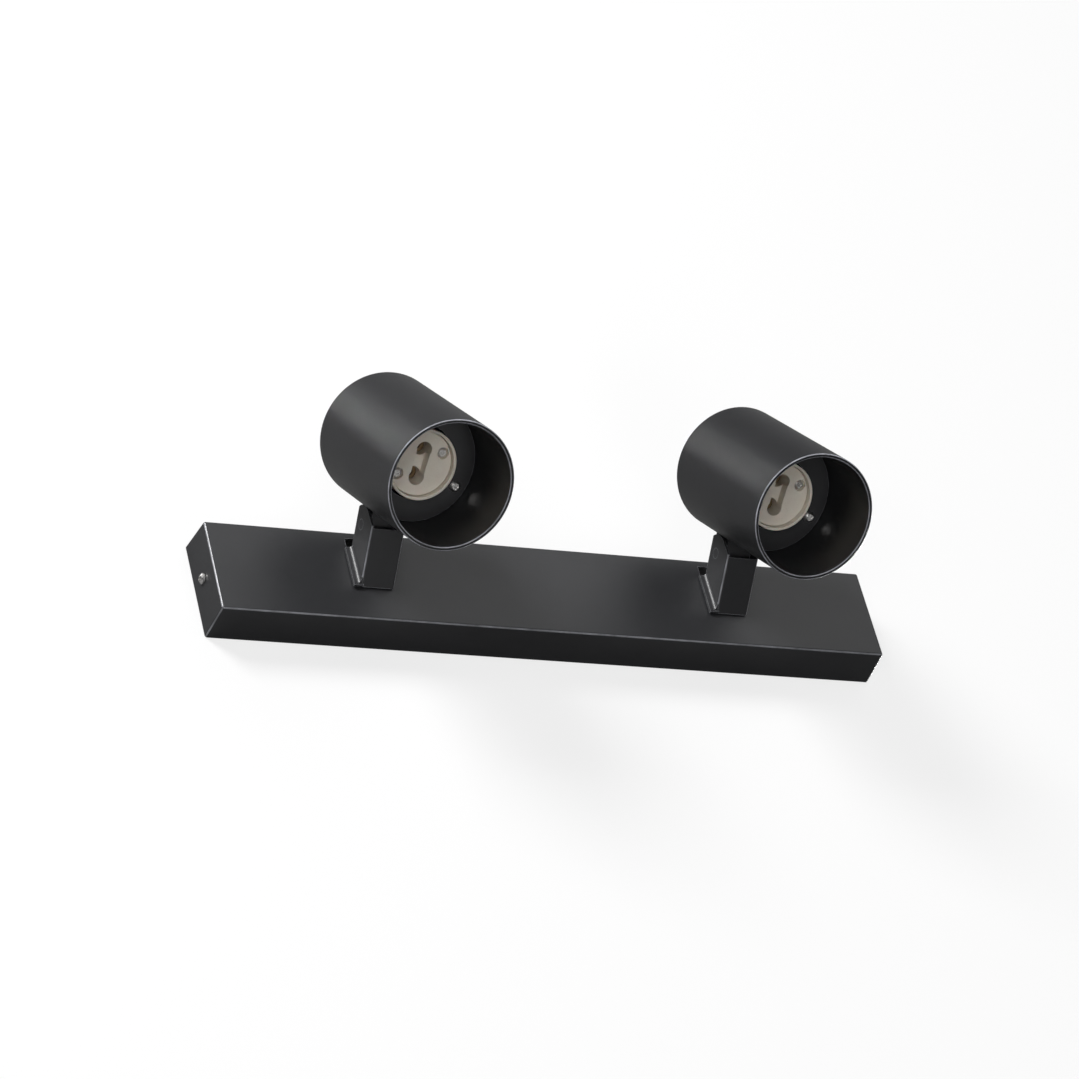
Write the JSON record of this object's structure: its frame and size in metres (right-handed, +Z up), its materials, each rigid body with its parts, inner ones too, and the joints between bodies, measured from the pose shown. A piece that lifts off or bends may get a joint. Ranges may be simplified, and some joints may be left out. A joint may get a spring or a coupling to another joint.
{
  "type": "wall light",
  "caption": "Wall light with a long shallow cover and swivelling, tilting spotlight tubes on folded sheet arms.",
  "frame": {"origin": "centre of the back face, in the wall plane", "axes": "+Z up the wall, -Y out of the wall towards the room, +X along the cover to the right as seen from the room"},
  "size_m": [0.3448, 0.1311, 0.1024],
  "materials": {
    "black_powder_coat": "fine satin powder coat, anthracite black",
    "zinc_steel": "zinc plated",
    "bright_screw": "bright nickel plated",
    "cream_ceramic": "unglazed steatite, cream",
    "brass": "dull",
    "white_nylon": "nylon",
    "black_fibre": "pressed fibre",
    "terminal_plastic": "moulded, white",
    "black_rubber": "moulded",
    "silicone_wire": "silicone insulation",
    "earth_wire": "silicone insulation, green"
  },
  "bodies": {
    "base": {"base_cover": "black_powder_coat", "mounting_plate": "zinc_steel", "cover_screws": "bright_screw", "terminal_block": "terminal_plastic", "terminal_clamps": "brass", "terminal_screws": "bright_screw", "terminal_fixing_screw": "zinc_steel", "earth_stud": "brass", "earth_washer": "brass", "earth_nut": "brass", "cable_grommet": "black_rubber", "left_supply_lead": "silicone_wire", "right_supply_lead": "silicone_wire", "earth_lead": "earth_wire"},
    "left_arm": {"left_arm": "black_powder_coat", "left_swivel_washer": "black_fibre", "left_swivel_bush": "zinc_steel", "left_spring_washer": "zinc_steel", "left_swivel_nut": "zinc_steel", "left_arm_lead": "silicone_wire", "left_pivot_pins": "black_powder_coat", "left_pivot_washers": "white_nylon"},
    "left_head": {"left_hinge_lug": "black_powder_coat", "left_lug_screws": "zinc_steel", "left_head_lead": "silicone_wire", "left_head_tube": "black_powder_coat", "left_rear_cap": "black_powder_coat", "left_partition_disc": "black_powder_coat", "left_disc_tabs": "zinc_steel", "left_disc_screws": "bright_screw", "left_lamp_bracket": "zinc_steel", "left_lampholder_body": "cream_ceramic", "left_lampholder_face": "cream_ceramic", "left_lampholder_screws": "bright_screw", "left_lamp_contacts": "brass"},
    "right_arm": {"right_arm": "black_powder_coat", "right_swivel_washer": "black_fibre", "right_swivel_bush": "zinc_steel", "right_spring_washer": "zinc_steel", "right_swivel_nut": "zinc_steel", "right_arm_lead": "silicone_wire", "right_pivot_pins": "black_powder_coat", "right_pivot_washers": "white_nylon"},
    "right_head": {"right_hinge_lug": "black_powder_coat", "right_lug_screws": "zinc_steel", "right_head_lead": "silicone_wire", "right_head_tube": "black_powder_coat", "right_rear_cap": "black_powder_coat", "right_partition_disc": "black_powder_coat", "right_disc_tabs": "zinc_steel", "right_disc_screws": "bright_screw", "right_lamp_bracket": "zinc_steel", "right_lampholder_body": "cream_ceramic", "right_lampholder_face": "cream_ceramic", "right_lampholder_screws": "bright_screw", "right_lamp_contacts": "brass"}
  },
  "joints": [
    {"name": "left_swivel", "type": "hinge", "parent": "base", "child": "left_arm", "pos_m": [-0.0915, -0.0205, 0.0034], "axis": [0, -1, 0], "range_deg": [-36, 36]},
    {"name": "left_tilt", "type": "hinge", "parent": "left_arm", "child": "left_head", "pos_m": [-0.0915, -0.03533, 0.01757], "axis": [1, 0, 0], "range_deg": [-30, 35]},
    {"name": "right_swivel", "type": "hinge", "parent": "base", "child": "right_arm", "pos_m": [0.0915, -0.0205, 0.0034], "axis": [0, -1, 0], "range_deg": [-36, 36]},
    {"name": "right_tilt", "type": "hinge", "parent": "right_arm", "child": "right_head", "pos_m": [0.0915, -0.03533, 0.01757], "axis": [1, 0, 0], "range_deg": [-30, 35]}
  ]
}
